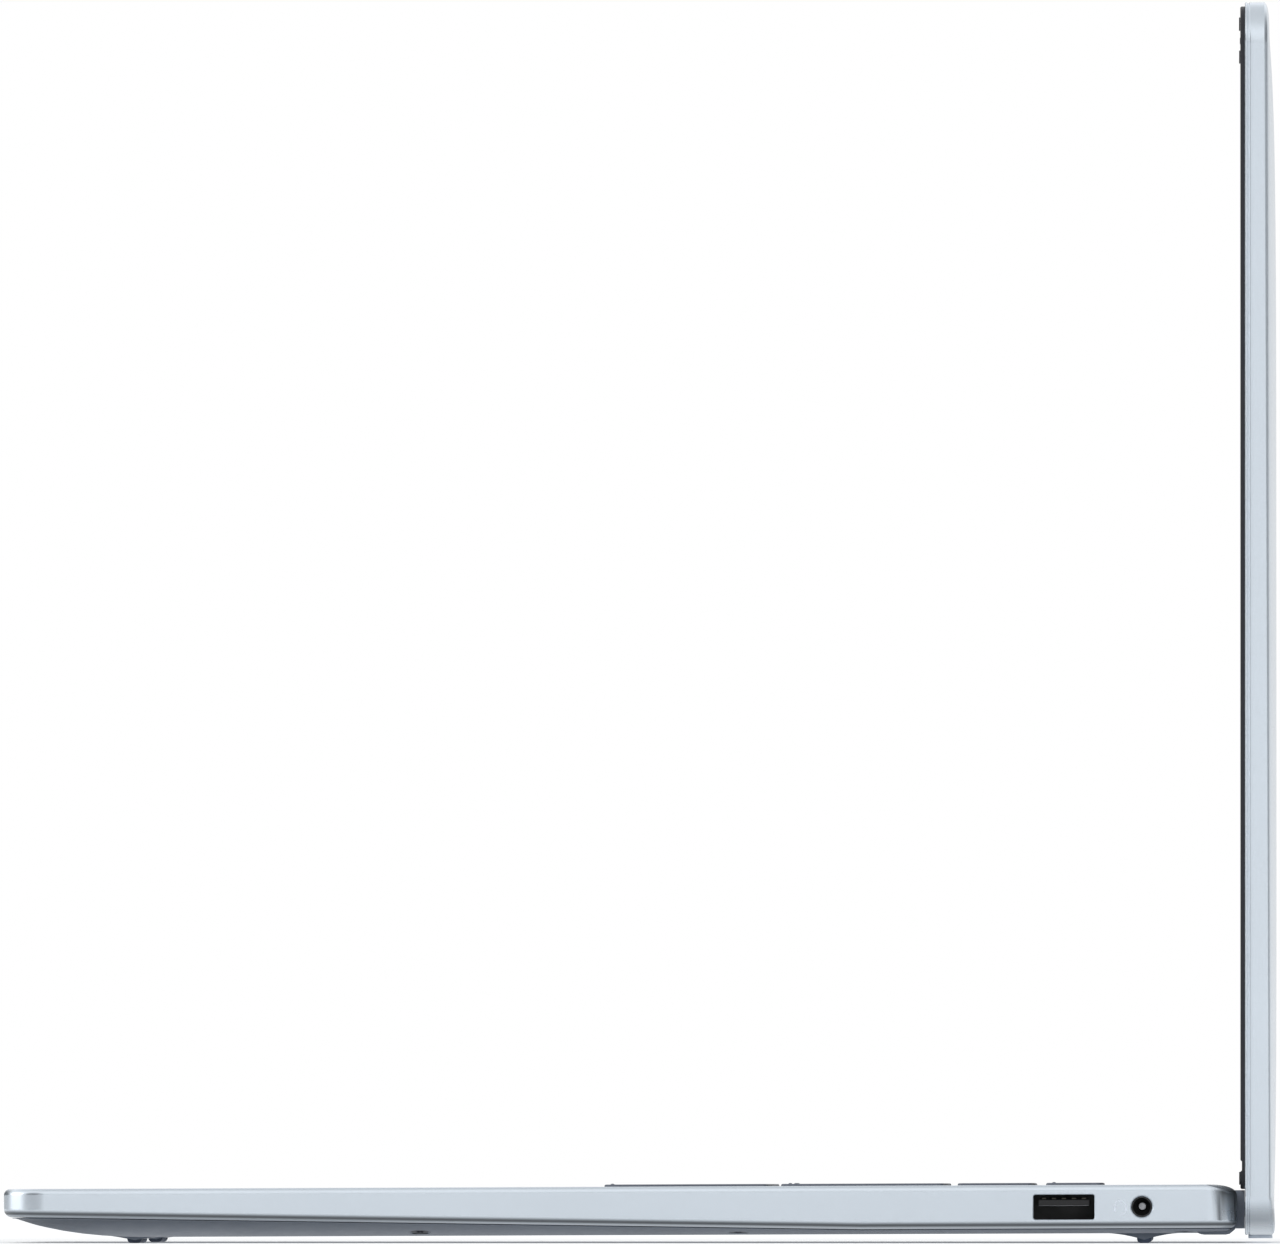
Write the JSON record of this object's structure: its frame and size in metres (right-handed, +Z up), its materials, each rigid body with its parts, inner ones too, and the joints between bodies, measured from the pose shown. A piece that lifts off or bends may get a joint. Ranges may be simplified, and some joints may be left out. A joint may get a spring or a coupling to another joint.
{
  "type": "laptop computer",
  "caption": "Thin clamshell laptop standing open at a right angle, with an island keyboard and number pad, a touchpad, side ports, and a drop hinge at the rear.",
  "frame": {"origin": "on the table, midway across the width and midway between the front edge of the base and the back of the open lid", "axes": "+X to the user's right, +Y away from the user towards the lid, +Z up"},
  "size_m": [0.3568, 0.26, 0.2535],
  "materials": {
    "silver_metal": "fine satin anodised",
    "cover_plastic": "satin moulded",
    "dark_screws": "black zinc",
    "rubber": "matt",
    "steel": "pressed and plated",
    "key_plastic": "fine matt",
    "button_plastic": "fine matt",
    "touchpad_surface": "satin",
    "circuit_board": "solder mask",
    "chip_black": "moulded",
    "copper": "bare copper",
    "battery_wrap": "film wrap",
    "bezel_plastic": "fine texture",
    "screen": "anti-glare, switched off"
  },
  "bodies": {
    "base": {"top_case": "silver_metal", "bottom_cover": "cover_plastic", "bottom_screws": "dark_screws", "front_feet": "rubber", "rear_foot": "rubber", "keyboard_plate": "steel", "touchpad_bracket": "steel", "mainboard": "circuit_board", "board_chips": "chip_black", "memory_module": "circuit_board", "solid_state_drive": "circuit_board", "wireless_card": "circuit_board", "heat_pipes": "copper", "fin_stack_left": "copper", "fin_stack_right": "copper", "fan_housing_left": "chip_black", "fan_housing_right": "chip_black", "battery_pack": "battery_wrap", "speaker_left": "chip_black", "speaker_right": "chip_black", "io_board": "circuit_board", "usb_a_socket": "steel", "headset_jack": "chip_black", "hdmi_socket": "steel", "usb_c_sockets": "steel", "hinge_bracket_left": "steel", "hinge_bracket_right": "steel"},
    "lid": {"hinge_arm_left": "steel", "hinge_arm_right": "steel", "hinge_cover_left": "cover_plastic", "hinge_cover_right": "cover_plastic", "hinge_screws": "dark_screws", "lid_cover": "silver_metal", "lid_foot_strip": "rubber", "bezel": "bezel_plastic", "lid_bumpers": "rubber", "display_panel": "screen", "display_board": "circuit_board", "camera_module": "circuit_board"},
    "keys_function": {"keys_function": "key_plastic"},
    "keys_number": {"keys_number": "key_plastic"},
    "keys_upper": {"keys_upper": "key_plastic"},
    "keys_home": {"keys_home": "key_plastic"},
    "keys_lower": {"keys_lower": "key_plastic"},
    "keys_bottom": {"keys_bottom": "key_plastic"},
    "space_bar": {"space_bar": "key_plastic"},
    "arrow_keys": {"arrow_keys": "key_plastic"},
    "numpad_keys": {"numpad_keys": "key_plastic"},
    "numpad_plus_key": {"numpad_plus_key": "key_plastic"},
    "numpad_enter_key": {"numpad_enter_key": "key_plastic"},
    "power_button": {"power_button": "button_plastic"},
    "touchpad": {"touchpad": "touchpad_surface"},
    "fan_left": {"fan_impeller_left": "chip_black"},
    "fan_right": {"fan_impeller_right": "chip_black"},
    "camera_shutter": {"camera_shutter": "chip_black"}
  },
  "joints": [
    {"name": "lid_hinge", "type": "hinge", "parent": "base", "child": "lid", "pos_m": [0, 0.1171, 0.0069], "axis": [-1, 0, 0], "range_deg": [-90.22, 45]},
    {"name": "keys_function_press", "type": "slide", "parent": "base", "child": "keys_function", "axis": [0, 0.0038, -1], "range_m": [0, 0.0013], "stiffness_N_per_m": 1500, "springref_m": -0.0005},
    {"name": "keys_number_press", "type": "slide", "parent": "base", "child": "keys_number", "axis": [0, 0.0038, -1], "range_m": [0, 0.0013], "stiffness_N_per_m": 1500, "springref_m": -0.0005},
    {"name": "keys_upper_press", "type": "slide", "parent": "base", "child": "keys_upper", "axis": [0, 0.0038, -1], "range_m": [0, 0.0013], "stiffness_N_per_m": 1500, "springref_m": -0.0005},
    {"name": "keys_home_press", "type": "slide", "parent": "base", "child": "keys_home", "axis": [0, 0.0038, -1], "range_m": [0, 0.0013], "stiffness_N_per_m": 1500, "springref_m": -0.0005},
    {"name": "keys_lower_press", "type": "slide", "parent": "base", "child": "keys_lower", "axis": [0, 0.0038, -1], "range_m": [0, 0.0013], "stiffness_N_per_m": 1500, "springref_m": -0.0005},
    {"name": "keys_bottom_press", "type": "slide", "parent": "base", "child": "keys_bottom", "axis": [0, 0.0038, -1], "range_m": [0, 0.0013], "stiffness_N_per_m": 1500, "springref_m": -0.0005},
    {"name": "space_bar_press", "type": "slide", "parent": "base", "child": "space_bar", "axis": [0, 0.0038, -1], "range_m": [0, 0.0013], "stiffness_N_per_m": 400, "springref_m": -0.0005},
    {"name": "arrow_keys_press", "type": "slide", "parent": "base", "child": "arrow_keys", "axis": [0, 0.0038, -1], "range_m": [0, 0.0013], "stiffness_N_per_m": 1500, "springref_m": -0.0005},
    {"name": "numpad_keys_press", "type": "slide", "parent": "base", "child": "numpad_keys", "axis": [0, 0.0038, -1], "range_m": [0, 0.0013], "stiffness_N_per_m": 1500, "springref_m": -0.0005},
    {"name": "numpad_plus_key_press", "type": "slide", "parent": "base", "child": "numpad_plus_key", "axis": [0, 0.0038, -1], "range_m": [0, 0.0013], "stiffness_N_per_m": 400, "springref_m": -0.0005},
    {"name": "numpad_enter_key_press", "type": "slide", "parent": "base", "child": "numpad_enter_key", "axis": [0, 0.0038, -1], "range_m": [0, 0.0013], "stiffness_N_per_m": 400, "springref_m": -0.0005},
    {"name": "power_button_press", "type": "slide", "parent": "base", "child": "power_button", "axis": [0, 0.0038, -1], "range_m": [0, 0.0013], "stiffness_N_per_m": 400, "springref_m": -0.0005},
    {"name": "touchpad_click", "type": "hinge", "parent": "base", "child": "touchpad", "pos_m": [0, -0.02742, 0.00965], "axis": [1, 0, 0], "range_deg": [0, 0.239], "stiffness_Nm_per_rad": 30, "springref_deg": -0.11},
    {"name": "fan_left_spin", "type": "hinge", "parent": "base", "child": "fan_left", "pos_m": [-0.06, 0.07181, 0.00333], "axis": [0, -0.0038, 1], "continuous": true},
    {"name": "fan_right_spin", "type": "hinge", "parent": "base", "child": "fan_right", "pos_m": [0.06, 0.07181, 0.00333], "axis": [0, -0.0038, 1], "continuous": true},
    {"name": "camera_shutter_slide", "type": "slide", "parent": "lid", "child": "camera_shutter", "axis": [-1, 0, 0], "range_m": [0, 0.005]}
  ]
}
